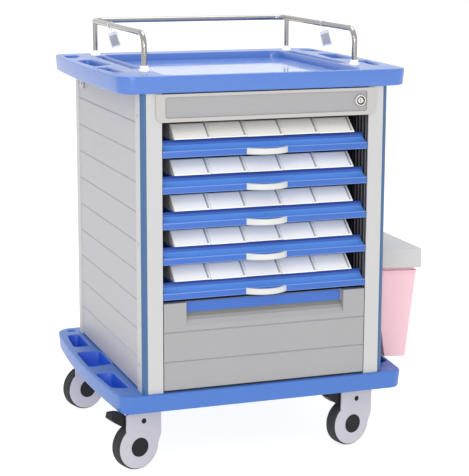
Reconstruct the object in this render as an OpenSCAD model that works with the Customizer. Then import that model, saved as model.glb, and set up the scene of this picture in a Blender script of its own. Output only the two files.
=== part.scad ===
// Wheeled medication trolley: a square cabinet on a wide moulded base with four
// swivel castors, five pull-out trays of labelled boxes, one deep drawer, a top
// tray with a guard rail, a keyed lock and a lidded waste bin on one side.
// Millimetres, +Z up, front towards -Y, wheels standing on z = 0.

/* [Cabinet] */
// Width across the cabinet posts
body_width = 534; // [500:1:560]
// Depth across the cabinet posts
body_depth = 536; // [520:1:560]
// Height of the cabinet underside above the floor
body_bottom = 174.5; // [174:0.5:178]
// Height of the cabinet top above the floor
body_top = 787.5; // [786:0.5:797]
// Width of a front post
post_width = 43; // [36:1:46]
// Depth of a front post
post_depth = 42; // [36:1:46]
// Size of the chamfer that carries the coloured corner strip
post_chamfer = 11; // [9:0.5:13]
// Height of one plank of the side panels
plank_pitch = 61; // [45:1:80]

/* [Base and top mouldings] */
// Height of the base moulding's underside
base_bottom = 133; // [132:0.5:135]
// Height of the base moulding's top
base_top = 171.5; // [170:0.5:172]
// Widest half width of the base moulding
base_half_width = 328; // [322:1:335]
// Radius of the long arc along each side of the base
base_side_radius = 2600; // [2000:10:3000]
// Height of the top tray's rim
tray_rim_top = 822.5; // [820:0.5:828]
// Widest half width of the top tray
top_half_width = 320; // [314:1:324]
// Radius of the long arc along each side of the top tray
top_side_radius = 3790; // [3000:10:4500]
// Wall thickness of the mouldings
moulding_wall = 4; // [3:0.5:5]

/* [Pull-out trays] */
// Number of pull-out trays
tray_count = 5; // [5]
// Height from one tray to the next
tray_pitch = 72.9; // [72.5:0.1:73]
// Height of the highest tray's lip
top_tray_z = 657.5; // [656:0.5:658]
// Height of a tray's front lip
lip_height = 14; // [12:0.5:15]
// Number of boxes in a tray
box_count = 5; // [3:1:7]
// Half width of the row of boxes
box_row_half = 196; // [180:1:197]
// Half width of a pull handle
handle_half = 44.5; // [35:0.5:60]
// How far a handle stands out
handle_reach = 20; // [16:1:24]

/* [Drawer] */
// Height of the drawer front's top edge
drawer_top = 358.5; // [340:0.5:359]
// Half width of the grip recess
grip_half = 174; // [120:1:180]

/* [Guard rail] */
// Diameter of the rail tube
rail_diameter = 12; // [10:0.5:14]
// Height of the rail's centre line
rail_z = 899; // [880:1:920]
// Half width between the rail's side tubes
rail_half = 231.5; // [228:0.5:236]
// Bend radius of the rail's corners
rail_bend = 28; // [24:1:32]

/* [Castors] */
// Wheel radius
wheel_radius = 50; // [49:0.5:50.5]
// Distance from the swivel axis back to the wheel axle
castor_trail = 32; // [28:1:34]
// Turn of every castor about its swivel axis
castor_turn = 16; // [0:1:30]

/* [Waste bin] */
// Width of the bin lid away from the cabinet
bin_width = 113; // [90:1:130]
// Length of the bin lid along the cabinet
bin_length = 250; // [200:1:260]
// Height of the bin lid's top
bin_top = 420.5; // [400:0.5:440]
// How far the bin's two ends lean in towards the cabinet
bin_slant = 27; // [0:1:30]

/* [Hidden] */
$fn = 96;
cut = 1;                                    // overshoot of a cutter
half_w = body_width / 2;
half_d = body_depth / 2;
front_y = -half_d;
back_y = half_d;
open_half = half_w - post_width;            // half width between the front posts
liner_wall = 2;
rear_post_depth = 24;
fascia_bottom = 729.5;
fascia_half = 237;
fascia_front = front_y - 4;
base_front = front_y - 8;
base_back = back_y + 37;
top_front = front_y - 8;
top_back = back_y + 22;
bow_y = 10;                                 // where the side arcs are widest
recess_half = 213;
recess_floor = tray_rim_top - 17;
tray_front = front_y;
tray_back = back_y - 50;
tray_half = open_half - 3;
pan_half = box_row_half + 3;
box_pitch = 2 * box_row_half / box_count;
box_nose_y = front_y + 8;
box_body_y = front_y + 24;
box_back_y = tray_back - 6;
rail_back = 244;
rail_front = -172;
rear_foot_turn = 10;                        // how far round the corner a rear post stands
rear_foot_x = rail_half - rail_bend * (1 - cos(rear_foot_turn));
rear_foot_y = rail_back - rail_bend * (1 - sin(rear_foot_turn));
castor_x = 240.5;
castor_front_y = -211;
castor_back_y = 225;
pedal_x = 11 - castor_trail;
pedal_z = wheel_radius + 54.5;
bin_inner = half_w + 8;
bin_outer = bin_inner + bin_width;
bin_front = -207;
bin_back = bin_front + bin_length;
bin_bottom = base_top + 4;
bin_rim = bin_top - 51;
bin_hinge_x = bin_inner + 4;
bin_hinge_z = bin_top - 4;
lock_x = 203;
lock_z = 759.5;
bar_x = 229;
handle_radius = (handle_half * handle_half + handle_reach * handle_reach) / (2 * handle_reach);

// The row's origin is under the middle of the whole outline, bin and pedals included
pedal_reach = castor_x + (castor_trail + 65) * cos(castor_turn) + 11.5 * sin(castor_turn);
cart_x = -(bin_outer - max(base_half_width, pedal_reach)) / 2;
cart_y = -(base_back + front_y - handle_reach) / 2;

blue = [0.36, 0.53, 0.86];
white = [0.93, 0.93, 0.95];
light_grey = [0.78, 0.78, 0.80];
lavender = [0.78, 0.78, 0.84];
mid_grey = [0.68, 0.69, 0.71];
dark = [0.12, 0.12, 0.14];
steel = [0.75, 0.76, 0.78];
rubber = [0.20, 0.20, 0.21];
pink = [0.93, 0.78, 0.81];

// ---------- helpers ----------

// Moves cabinet coordinates into the row's frame
module place() {
    translate([cart_x, cart_y, 0]) children();
}

// Left-hand copy of something drawn on the right
module left_side() {
    mirror([1, 0, 0]) children();
}

// Both sides of something drawn on the right
module both_sides() {
    children();
    mirror([1, 0, 0]) children();
}

// A block given by its low and high corners
module block(low, high) {
    translate(low) cube([high[0] - low[0], high[1] - low[1], high[2] - low[2]]);
}

// An upright prism over a plan outline
module prism(low, high) {
    translate([0, 0, low]) linear_extrude(high - low) children();
}

// A Y-Z outline swept along X
module sweep_x(low, high) {
    translate([low, 0, 0]) rotate([90, 0, 90]) linear_extrude(high - low) children();
}

// An X-Z outline swept along Y
module sweep_y(low, high) {
    translate([0, high, 0]) rotate([90, 0, 0]) linear_extrude(high - low) children();
}

// Rounds the outer corners of a plan outline
module rounded(r) {
    offset(r = r, $fn = 48) offset(delta = -r) children();
}

// ---------- base moulding ----------

module bowed_sides(front, back, half, radius) {
    intersection() {
        translate([-half - 10, front]) square([2 * half + 20, back - front]);
        translate([radius - half, bow_y]) circle(r = radius, $fn = 240);
        translate([half - radius, bow_y]) circle(r = radius, $fn = 240);
    }
}

module base_plan(inset = 0) {
    offset(delta = -inset) union() {
        intersection() {
            rounded(28) bowed_sides(base_front, base_back, base_half_width, base_side_radius);
            translate([-400, -400]) square([800, 410]);
        }
        intersection() {
            rounded(48) bowed_sides(base_front, base_back, base_half_width, base_side_radius);
            translate([-400, 9]) square([800, 400]);
        }
    }
}

module base_pocket_plans() {
    translate([285, 290 - 14]) circle(d = 19, $fn = 48);
    rounded(9) polygon([[300, 235], [274, 236], [278, 140], [310, 138]]);
    rounded(9) polygon([[315, 82], [269, 80], [268, -16], [317, -30]]);
    rounded(8) polygon([[316, -91], [284, -94], [281, -207], [309, -190]]);
}

module base_moulding() color(blue) place() {
    difference() {
        union() {
            prism(base_bottom, base_top - 2) base_plan();
            prism(base_top - 2, base_top) base_plan(2);
        }
        difference() {
            prism(base_bottom - cut, base_top - 6) base_plan(moulding_wall);
            both_sides() prism(base_bottom - 2, base_top)
                offset(delta = 3) base_pocket_plans();
            castor_positions() cylinder(h = base_top, r = 34);
            block([-half_w + 10, -8, 0], [half_w - 10, 8, base_top]);
        }
        both_sides() prism(base_top - 22, base_top + cut) base_pocket_plans();
        castor_positions() cylinder(h = base_bottom + 30.5, r = 8.1);
    }
    difference() {
        block([-open_half + 1, front_y + 20, base_top - cut], [open_half - 1, back_y - 12, body_bottom]);
        block([-open_half + 20, front_y + 60, base_top], [open_half - 20, back_y - 60, body_bottom + cut]);
    }
}

module floor_panel() color(white) place() {
    block([-open_half + 1, front_y + 20, body_bottom], [open_half - 1, back_y - 26, body_bottom + 3]);
}

// ---------- cabinet ----------

module front_post_plan() {
    c = post_chamfer;
    difference() {
        polygon([
            [open_half, front_y], [half_w - c, front_y], [half_w, front_y + c],
            [half_w, front_y + post_depth], [open_half + liner_wall, front_y + post_depth],
            [open_half + liner_wall, front_y + 3.5], [open_half, front_y + 3.5]
        ]);
        strip_channel();
        offset(delta = -5) polygon([
            [open_half - 1, front_y - 2], [half_w - c - 6, front_y - 2], [half_w + 2, front_y + c + 6],
            [half_w + 2, front_y + post_depth + 2], [open_half - 1, front_y + post_depth + 2]
        ]);
    }
}

// Channel along the chamfer, left open outwards
module strip_channel() {
    c = post_chamfer;
    translate([half_w - c / 2, front_y + c / 2]) rotate(45)
        translate([-c * 0.707 + 1.6, -4]) square([c * 1.414 - 3.2, 9]);
}

module front_post() {
    difference() {
        prism(base_top, body_top) front_post_plan();
        block([open_half - cut, front_y + 12, lock_z - 20], [open_half + 8, front_y + 34, lock_z + 20]);
    }
}

module front_post_left() color(light_grey) place() left_side() front_post();

module front_post_right() color(light_grey) place() front_post();

module corner_strips() color(blue) place() both_sides() prism(base_top, body_top) {
    c = post_chamfer;
    translate([half_w - c / 2, front_y + c / 2]) rotate(45)
        translate([-c * 0.707 + 1.6, -0.2]) square([c * 1.414 - 3.2, 2]);
}

module rear_posts() color(light_grey) place() both_sides() prism(base_top, body_top)
    difference() {
        rounded(3) translate([open_half, back_y - rear_post_depth])
            square([post_width, rear_post_depth]);
        translate([open_half + 3, back_y - rear_post_depth + 3])
            square([post_width - 6, rear_post_depth - 6]);
    }

module side_panel() {
    difference() {
        block(
            [half_w - 8.5, front_y + post_depth, body_bottom],
            [half_w - 2.5, back_y - rear_post_depth, body_top]
        );
        for (z = [body_top - plank_pitch : -plank_pitch : body_bottom + 20])
            translate([half_w - 2.5, 0, z]) rotate([90, 0, 0])
                cylinder(h = 2 * body_depth, r = 2, center = true, $fn = 4);
    }
}

module side_panel_left() color(lavender) place() left_side() side_panel();

module side_panel_right() color(lavender) place() side_panel();

module back_panel() color(lavender) place()
    block([-open_half, back_y - 10, body_bottom], [open_half, back_y - 6, body_top]);

module lock_fascia() color(light_grey) place() difference() {
    union() {
        sweep_y(fascia_front, front_y) difference() {
            rounded(14) translate([-fascia_half, fascia_bottom])
                square([2 * fascia_half, body_top - fascia_bottom + 30]);
            translate([-300, body_top - 2]) square([600, 60]);
        }
        block([-open_half, front_y, fascia_bottom + 6], [open_half, front_y + 8, body_top - 2]);
    }
    sweep_y(fascia_front - cut, fascia_front + 3) rounded(5)
        translate([-218, fascia_bottom + 8]) square([436, 42]);
    translate([lock_x, 0, lock_z]) rotate([90, 0, 0])
        cylinder(h = 600, r = 8, center = true);
}

module liner() {
    // wall from the front flange back, and the facing of the fascia's end
    block([open_half, front_y + 3.5, body_bottom],
          [open_half + liner_wall, back_y - rear_post_depth, fascia_bottom + 5]);
    block([open_half, front_y + post_depth, fascia_bottom + 5 - cut],
          [open_half + liner_wall, back_y - rear_post_depth, body_top]);
    for (k = [0 : tray_count - 1])
        block([open_half - 14, front_y + post_depth, top_tray_z - k * tray_pitch + 2],
              [open_half, tray_back + 10, top_tray_z - k * tray_pitch + lip_height - 5.4]);
    for (y = [-215 : 60 : 210])
        block([open_half + liner_wall, y, body_bottom], [open_half + liner_wall + 7, y + 6, body_top]);
}

module liner_left() color(dark) place() left_side() liner();

module liner_right() color(dark) place() liner();

// Cross-head screws that hold the back panel and side panels
module panel_screws() color(steel) place() {
    for (x = [-180, 0, 180])
        for (z = [240, 480, 720])
            translate([x, back_y - 6, z]) rotate([-90, 0, 0]) cylinder(h = 2.2, r1 = 4.5, r2 = 3.4, $fn = 32);
    both_sides() for (z = [230, 480, 740])
        translate([half_w, front_y + post_depth - 14, z]) rotate([0, 90, 0])
            cylinder(h = 1.6, r1 = 4.2, r2 = 3.2, $fn = 32);
}

// ---------- lock ----------

module lock_barrel() color(steel) place() translate([lock_x, 0, lock_z]) rotate([90, 0, 0])
    difference() {
        union() {
            translate([0, 0, -front_y - 20]) cylinder(h = 24, r = 7.9);
            translate([0, 0, -fascia_front - 3]) cylinder(h = 4, r = 9.6);
        }
        translate([0, 0, -front_y - 30]) cylinder(h = 60, r = 6.05);
    }

module lock_plug() color(steel) place() translate([lock_x, 0, lock_z]) rotate([90, 0, 0]) {
    difference() {
        translate([0, 0, -front_y - 26]) cylinder(h = 30.4, r = 6);
        translate([-0.8, -3.6, -fascia_front - 8]) cube([1.6, 7.2, 20]);
    }
    translate([0, -4, -front_y - 25]) cube([bar_x - lock_x + 1, 8, 3]);
}

module lock_bar() color(steel) place() difference() {
    block([bar_x, front_y + 16, 240], [bar_x + 6, front_y + 32, 776]);
    block([bar_x - cut, front_y + 14, lock_z - 14], [bar_x + 3, front_y + 40, lock_z + 8]);
}

// ---------- top tray and rail ----------

module top_plan(inset = 0) {
    offset(delta = -inset) union() {
        intersection() {
            rounded(40) bowed_sides(top_front, top_back, top_half_width, top_side_radius);
            translate([-400, -400]) square([800, 410]);
        }
        intersection() {
            rounded(28) bowed_sides(top_front, top_back, top_half_width, top_side_radius);
            translate([-400, 9]) square([800, 400]);
        }
    }
}

module top_pocket_plans() {
    rounded(9) polygon([[303, 235], [272, 245], [268, 215], [306, 137]]);
    rounded(9) polygon([[304, 98], [270, 135], [255, -5], [300, -38]]);
    rounded(9) polygon([[305, -72], [280, -55], [272, -195], [294, -165]]);
}

module slot_plans() {
    rounded(8) translate([recess_half + 4.5, -115]) square([21.5, 315]);
}

module top_tray() color(blue) place() {
    difference() {
        union() {
            prism(body_top, tray_rim_top - 2.5) top_plan(0);
            prism(tray_rim_top - 2.5, tray_rim_top) top_plan(2.5);
        }
        difference() {
            prism(body_top - cut, tray_rim_top - moulding_wall) top_plan(moulding_wall);
            prism(recess_floor - moulding_wall, tray_rim_top) recess_plan(-moulding_wall);
            both_sides() prism(body_top + 8, tray_rim_top) offset(delta = 3) top_pocket_plans();
            both_sides() prism(body_top + 20, tray_rim_top) offset(delta = 3) slot_plans();
            both_sides() block([open_half - 20, front_y, body_top], [half_w, front_y + 60, recess_floor]);
            both_sides() block([open_half - 20, back_y - 40, body_top], [half_w, back_y, recess_floor]);
            both_sides() for (foot = [[rail_half, rail_front], [rear_foot_x, rear_foot_y]])
                translate([foot[0], foot[1], recess_floor - 2]) cylinder(h = 20, r = 14);
        }
        prism(recess_floor, tray_rim_top + cut) recess_plan();
        both_sides() prism(tray_rim_top - 24, tray_rim_top + cut) top_pocket_plans();
        both_sides() prism(tray_rim_top - 9, tray_rim_top + cut) slot_plans();
    }
}

module recess_plan(inset = 0) {
    offset(delta = -inset) rounded(26)
        translate([-recess_half, front_y + 6]) square([2 * recess_half, 490]);
}

module tray_mat() color([0.9, 0.93, 0.97, 0.6]) place()
    prism(recess_floor, recess_floor + 2) recess_plan(2);

module rail_tube(length) {
    cylinder(h = length, d = rail_diameter);
}

module rail_elbow(r) {
    rotate_extrude(angle = 90) translate([r, 0]) circle(d = rail_diameter, $fn = 48);
}

module guard_rail() color(white) place() {
    b = rail_bend;
    both_sides() {
        translate([rail_half, rail_front + b, rail_z]) rotate([-90, 0, 0])
            rail_tube(rail_back - rail_front - 2 * b);
        translate([rail_half - b, rail_back - b, rail_z]) rail_elbow(b);
        translate([rail_half, rail_front + b, rail_z - b]) rotate([90, 0, -90]) rail_elbow(b);
        translate([rail_half, rail_front, tray_rim_top]) rail_tube(rail_z - b - tray_rim_top);
        translate([rear_foot_x, rear_foot_y, tray_rim_top])
            cylinder(h = rail_z - tray_rim_top, d = rail_diameter - 0.8);
    }
    translate([-rail_half + b, rail_back, rail_z]) rotate([0, 90, 0]) rail_tube(2 * (rail_half - b));
}

module rail_flange() {
    difference() {
        union() {
            cylinder(h = 5, d = 22);
            translate([0, 0, 5]) cylinder(h = 7, d1 = 19, d2 = 17);
        }
        translate([0, 0, -cut]) cylinder(h = 20, d = rail_diameter + 0.05);
    }
}

module rail_flanges() color(white) place() both_sides() {
    translate([rail_half, rail_front, tray_rim_top]) rail_flange();
    translate([rear_foot_x, rear_foot_y, tray_rim_top]) rail_flange();
}

// A clear pouch hung from the side rail by a loop of string
module tag(y, width, height) {
    r = rail_diameter / 2 + 0.9;
    translate([rail_half, y, rail_z]) {
        rotate([90, 0, 0]) rotate_extrude() translate([r, 0]) circle(r = 0.8, $fn = 16);
        translate([0, 0, -r - 9.5]) cylinder(h = 9.5, r = 0.8, $fn = 16);
        difference() {
            block([-width / 2, -1.6, -r - 9 - height], [width / 2, 1.6, -r - 9]);
            translate([0, 0, -r - 14]) rotate([90, 0, 0]) cylinder(h = 8, r = 2.2, center = true, $fn = 24);
        }
    }
}

module tag_left() color(white) place() left_side() tag(84, 19, 31);

module tag_right() color(white) place() tag(1, 20, 32);

// ---------- pull-out trays ----------

module tray_shell(k) {
    z = top_tray_z - k * tray_pitch;
    translate([0, 0, z]) {
        // pan with its floor and walls, and a cove at the front
        difference() {
            union() {
                block([-pan_half, front_y + 20, 2], [pan_half, tray_back, 33]);
                intersection() {
                    sweep_x(-tray_half, tray_half) polygon([
                        [front_y + 1, lip_height - 3], [front_y + 1, lip_height],
                        [front_y + 6, lip_height + 2], [front_y + 14, lip_height + 6],
                        [front_y + 18.5, lip_height + 12], [front_y + 20, lip_height + 18.8],
                        [front_y + 22, lip_height + 18.8], [front_y + 22, lip_height - 3]
                    ]);
                    sweep_y(front_y - 5, front_y + 60) polygon([
                        [-tray_half, 0], [tray_half, 0], [tray_half, lip_height],
                        [tray_half - 18, lip_height + 19], [18 - tray_half, lip_height + 19],
                        [-tray_half, lip_height]
                    ]);
                }
            }
            block([-box_row_half - 0.6, front_y + 22.5, 4.5], [box_row_half + 0.6, tray_back - 2.5, 60]);
        }
        // side flanges that run on the liner ledges
        both_sides() block([pan_half - cut, front_y + 2, lip_height - 5],
                           [tray_half, tray_back, lip_height - 2]);
        // front lip
        block([-tray_half, front_y, 0], [tray_half, front_y + 3.5, lip_height]);
        block([-tray_half, front_y + 3, 2], [tray_half, front_y + 21, 5]);
    }
}

module tray_handle(k) {
    r = handle_radius;
    translate([0, front_y - handle_reach + r, top_tray_z - k * tray_pitch + 0.5])
        difference() {
            cylinder(h = 13, r = r);
            translate([0, 0, -cut]) cylinder(h = 20, r = r - 6);
            translate([-100, handle_reach - r, -cut]) cube([200, 200, 20]);
        }
}

module tray_boxes(k) {
    w = box_pitch - 1.2;
    z = top_tray_z - k * tray_pitch;
    for (i = [0 : box_count - 1])
        translate([-box_row_half + (i + 0.5) * box_pitch, 0, z]) difference() {
            union() {
                sweep_x(-w / 2, w / 2) polygon([
                    [box_body_y, 4.6], [box_body_y, 33], [box_nose_y, 35.5],
                    [box_nose_y + 36, 63], [box_back_y, 63], [box_back_y, 4.6]
                ]);
                // raised rim around the label face
                both_sides() label_rim_piece(w / 2 - 2.2, w / 2 - 0.4);
                label_foot(w / 2 - 0.4);
            }
            sweep_x(-w / 2 + 1.6, w / 2 - 1.6) polygon([
                [box_body_y + 1.8, 6.4], [box_body_y + 1.8, 35.5], [box_nose_y + 39, 64.5],
                [box_back_y - 1.8, 64.5], [box_back_y - 1.8, 6.4]
            ]);
        }
}

module label_rim_piece(low, high) {
    sweep_x(low, high) polygon([
        [box_nose_y, 35.5], [box_nose_y - 1, 36.8], [box_nose_y + 35, 64.3], [box_nose_y + 36, 63]
    ]);
}

module label_foot(half) {
    sweep_x(-half, half) polygon([
        [box_nose_y, 35.5], [box_nose_y - 1, 36.8], [box_nose_y + 1, 38.3], [box_nose_y + 2, 37]
    ]);
}

module tray_1_shell() color(blue) place() tray_shell(0);
module tray_2_shell() color(blue) place() tray_shell(1);
module tray_3_shell() color(blue) place() tray_shell(2);
module tray_4_shell() color(blue) place() tray_shell(3);
module tray_5_shell() color(blue) place() tray_shell(4);

module tray_1_handle() color(white) place() tray_handle(0);
module tray_2_handle() color(white) place() tray_handle(1);
module tray_3_handle() color(white) place() tray_handle(2);
module tray_4_handle() color(white) place() tray_handle(3);
module tray_5_handle() color(white) place() tray_handle(4);

module tray_1_boxes() color(white) place() tray_boxes(0);
module tray_2_boxes() color(white) place() tray_boxes(1);
module tray_3_boxes() color(white) place() tray_boxes(2);
module tray_4_boxes() color(white) place() tray_boxes(3);
module tray_5_boxes() color(white) place() tray_boxes(4);

// ---------- drawer ----------

drawer_bottom = body_bottom + 4;

module drawer_front() color(mid_grey) place() difference() {
    block([-open_half + 2, front_y, body_bottom + 1.5], [open_half - 2, front_y + 18, drawer_top]);
    intersection() {
        sweep_x(-400, 400) polygon([
            [front_y - 1, drawer_top - 51], [front_y + 12, drawer_top - 23],
            [front_y + 12, drawer_top + 5], [front_y - 1, drawer_top + 5]
        ]);
        sweep_y(front_y - 5, front_y + 30) rounded(4) polygon([
            [-grip_half, drawer_top + 20], [grip_half, drawer_top + 20],
            [grip_half, drawer_top - 51.5], [-grip_half, drawer_top - 51.5]
        ]);
    }
    for (z = [drawer_top - 61, drawer_top - 123])
        translate([0, front_y, z]) rotate([0, 90, 0])
            cylinder(h = 2 * body_width, r = 1.8, center = true, $fn = 4);
}

module drawer_grip_band() color(blue) place()
    block([-grip_half + 4, front_y + 9.5, drawer_top - 22], [grip_half - 4, front_y + 12, drawer_top - 1]);

module drawer_box() color(white) place() difference() {
    block([-open_half + 19, front_y + 18, drawer_bottom], [open_half - 19, back_y - 60, drawer_top - 21]);
    block([-open_half + 22, front_y + 21, drawer_bottom + 3],
          [open_half - 22, back_y - 63, drawer_top + cut]);
}

module drawer_rails() color(steel) place() both_sides() {
    difference() {
        block([open_half - 9, front_y + 22, drawer_bottom + 55], [open_half - 0.5, back_y - 40, drawer_bottom + 95]);
        block([open_half - 10, front_y + 20, drawer_bottom + 58], [open_half - 2.5, back_y - 30, drawer_bottom + 92]);
    }
}

module drawer_runners() color(steel) place() both_sides() union() {
    block([open_half - 19, front_y + 19, drawer_bottom + 60], [open_half - 14, back_y - 70, drawer_bottom + 90]);
    block([open_half - 14, front_y + 24, drawer_bottom + 66], [open_half - 4, back_y - 74, drawer_bottom + 84]);
}

// ---------- waste bin ----------

module bin_bracket() color(steel) place() {
    block([half_w - 2.5, bin_front + 55, bin_rim - 72], [half_w + 2, bin_front + 195, bin_rim + 24]);
    block([half_w + 2, bin_front + 55, bin_rim - 6], [bin_inner + 8, bin_front + 195, bin_rim - 2]);
}

// Outline seen from above: both ends lean in towards the cabinet
module bin_plan(inset = 0, setback = 0) {
    offset(delta = -inset) polygon([
        [bin_inner, bin_front + bin_slant + setback], [bin_outer, bin_front + setback],
        [bin_outer, bin_back - setback], [bin_inner, bin_back - bin_slant - setback]
    ]);
}

module bin_body() color(pink) place() difference() {
    union() {
        bin_shell(0, bin_bottom, bin_rim);
        // hanging rim and collar
        prism(bin_rim - 1.8, bin_rim + 2) rounded(8) bin_plan(5, 3);
        prism(bin_rim + 2, bin_rim + 24) rounded(8) bin_plan(9, 5);
        // lugs that carry the lid's hinge pin
        for (y = [bin_front + 42, bin_back - 54]) {
            block([bin_hinge_x - 3.5, y, bin_rim + 2], [bin_inner + 12, y + 12, bin_hinge_z]);
            translate([bin_hinge_x, y + 12, bin_hinge_z]) rotate([90, 0, 0]) cylinder(h = 12, r = 3.5);
        }
    }
    bin_shell(2.5, bin_bottom + 3, bin_rim);
    prism(bin_rim - cut, bin_top + 20) rounded(6) bin_plan(18, 3);
    translate([bin_hinge_x, bin_back, bin_hinge_z]) rotate([90, 0, 0]) cylinder(h = 400, r = 1.8);
}

// Tapered tub: the long sides lean in towards the bottom, the ends stay upright
module bin_shell(wall, low, high) {
    rise = (high - low) / 194;
    inner = bin_inner + 15 + wall;
    outer = bin_outer - 8 - wall;
    intersection() {
        sweep_y(bin_front - 50, bin_back + 50) polygon([
            [inner + 26 * rise, low], [outer - 20 * rise, low], [outer, high], [inner, high]
        ]);
        prism(low, high) bin_plan(wall, 13);
    }
}

module bin_lid() color(light_grey) place() {
    difference() {
        prism(bin_top - 41, bin_top) rounded(6) bin_plan();
        prism(bin_top - 43, bin_top - 3) bin_plan(3);
        block([bin_inner - cut, bin_front + bin_slant + 3, bin_top - 43],
              [bin_inner + 8, bin_back - bin_slant - 3, bin_top - 3]);
        for (y = [bin_front + 41.5, bin_back - 54.5])
            block([bin_inner - cut, y, bin_top - 43], [bin_hinge_x + 4.5, y + 13, bin_top + cut]);
    }
    for (y = [bin_front + 55, bin_back - 67]) {
        block([bin_hinge_x - 3, y, bin_hinge_z], [bin_hinge_x + 3, y + 12, bin_top - 2]);
        translate([bin_hinge_x, y + 12, bin_hinge_z]) rotate([90, 0, 0]) cylinder(h = 12, r = 3.4);
    }
    translate([bin_hinge_x, bin_back - 41, bin_hinge_z]) rotate([90, 0, 0])
        cylinder(h = bin_length - 82, r = 1.75);
}

// ---------- castors ----------

module castor_positions() {
    for (x = [-castor_x, castor_x])
        for (y = [castor_front_y, castor_back_y])
            translate([x, y, 0]) children();
}

module castor_sockets() color(steel) place() castor_positions() {
    translate([0, 0, base_bottom - 4]) cylinder(h = 4, r = 28);
    translate([0, 0, 104]) cylinder(h = base_bottom - 108, r = 6);
    translate([0, 0, base_bottom - 1]) cylinder(h = 30, r = 8);
}

module castor_at(side, y) {
    place() translate([side * castor_x, y, 0]) rotate(castor_turn) children();
}

// Wheel axle line along local Y, behind the swivel axis
module on_axle() {
    translate([-castor_trail, 0, wheel_radius]) rotate([-90, 0, 0]) children();
}

module castor_housing() {
    r = wheel_radius - 3.5;
    top = base_bottom - 9;
    difference() {
        union() {
            for (s = [0, 1]) mirror([0, s, 0]) {
                on_axle() rotate_extrude() polygon([
                    [19, 14], [r, 14], [r, 15], [r - 4, 16.4], [r - 12, 17.6], [26, 18.4], [19, 18.5]
                ]);
                sweep_y(14, 17) polygon([
                    [s == 1 ? -castor_trail - 31 : -castor_trail - 13, top], [21.5, top], [21.5, 70],
                    [3, 22], [-8, 50], [-castor_trail, 73],
                    [s == 1 ? -castor_trail - 31 : -castor_trail - 13, 84]
                ]);
            }
            sweep_y(-16, 16) polygon([
                [-castor_trail - 12, 115], [-castor_trail - 12, top], [20, top], [20, 98], [10, 100],
                [8, 104], [-12, 114]
            ]);
            translate([0, 0, 101]) cylinder(h = base_bottom - 106, r = 16.5);
        }
        cylinder(h = 300, r = 6.05, center = true);
        on_axle() cylinder(h = 80, r = 20.45, center = true);
        on_axle() cylinder(h = 28.6, r = wheel_radius + 3, center = true);
        translate([pedal_x, 0, pedal_z]) rotate([90, 0, 0]) cylinder(h = 80, r = 5.05, center = true);
        block([-80, -13, 70], [pedal_x + 7.5, 13, 113.5]);
    }
}

module castor_wheel() color(dark) on_axle() {
    cylinder(h = 24, r = wheel_radius - 10, center = true);
    cylinder(h = 38, r = 20.4, center = true);
}

module castor_tyre() color(rubber) on_axle() rotate_extrude() polygon([
    [wheel_radius - 10, -13.5], [wheel_radius - 3, -13.5], [wheel_radius - 0.8, -11],
    [wheel_radius, -7], [wheel_radius, 7], [wheel_radius - 0.8, 11],
    [wheel_radius - 3, 13.5], [wheel_radius - 10, 13.5]
]);

module castor_pedal() color(dark) {
    sweep_y(-11.5, 11.5) polygon([
        [pedal_x + 5, pedal_z - 3.5], [pedal_x + 5, pedal_z + 4], [-castor_trail - 16, 112],
        [-castor_trail - 26, 119], [-castor_trail - 36, 127.5], [-castor_trail - 46, 130],
        [-castor_trail - 62, 130.5], [-castor_trail - 65, 119], [-castor_trail - 54, 109.5],
        [-castor_trail - 43, 102], [-castor_trail - 32, 97.5], [-castor_trail - 24, 100.8],
        [-castor_trail - 14, 102.8], [pedal_x - 8, 103]
    ]);
    translate([pedal_x, 0, pedal_z]) rotate([90, 0, 0]) cylinder(h = 33, r = 5, center = true);
}

module castor_fl_housing() color(light_grey) castor_at(-1, castor_front_y) castor_housing();
module castor_fr_housing() color(light_grey) castor_at(1, castor_front_y) castor_housing();
module castor_bl_housing() color(light_grey) castor_at(-1, castor_back_y) castor_housing();
module castor_br_housing() color(light_grey) castor_at(1, castor_back_y) castor_housing();

module castor_fl_wheel() castor_at(-1, castor_front_y) castor_wheel();
module castor_fr_wheel() castor_at(1, castor_front_y) castor_wheel();
module castor_bl_wheel() castor_at(-1, castor_back_y) castor_wheel();
module castor_br_wheel() castor_at(1, castor_back_y) castor_wheel();

module castor_fl_tyre() castor_at(-1, castor_front_y) castor_tyre();
module castor_fr_tyre() castor_at(1, castor_front_y) castor_tyre();
module castor_bl_tyre() castor_at(-1, castor_back_y) castor_tyre();
module castor_br_tyre() castor_at(1, castor_back_y) castor_tyre();

module castor_fl_pedal() castor_at(-1, castor_front_y) castor_pedal();
module castor_fr_pedal() castor_at(1, castor_front_y) castor_pedal();

// ---------- everything ----------

base_moulding();
floor_panel();
front_post_left();
front_post_right();
rear_posts();
corner_strips();
side_panel_left();
side_panel_right();
back_panel();
lock_fascia();
liner_left();
liner_right();
top_tray();
tray_mat();
guard_rail();
rail_flanges();
lock_barrel();
lock_plug();
lock_bar();
drawer_rails();
drawer_runners();
drawer_box();
drawer_front();
drawer_grip_band();
bin_bracket();
bin_body();
bin_lid();
castor_sockets();
panel_screws();
tag_left();
tag_right();
tray_1_shell();
tray_1_handle();
tray_1_boxes();
tray_2_shell();
tray_2_handle();
tray_2_boxes();
tray_3_shell();
tray_3_handle();
tray_3_boxes();
tray_4_shell();
tray_4_handle();
tray_4_boxes();
tray_5_shell();
tray_5_handle();
tray_5_boxes();
castor_fl_housing();
castor_fl_wheel();
castor_fl_tyre();
castor_fl_pedal();
castor_fr_housing();
castor_fr_wheel();
castor_fr_tyre();
castor_fr_pedal();
castor_bl_housing();
castor_bl_wheel();
castor_bl_tyre();
castor_br_housing();
castor_br_wheel();
castor_br_tyre();
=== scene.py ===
"""Looks of a wheeled medication trolley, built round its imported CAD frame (Blender 4.5, metres)."""
import math

import bmesh
import bpy
from mathutils import Matrix, Vector


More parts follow.
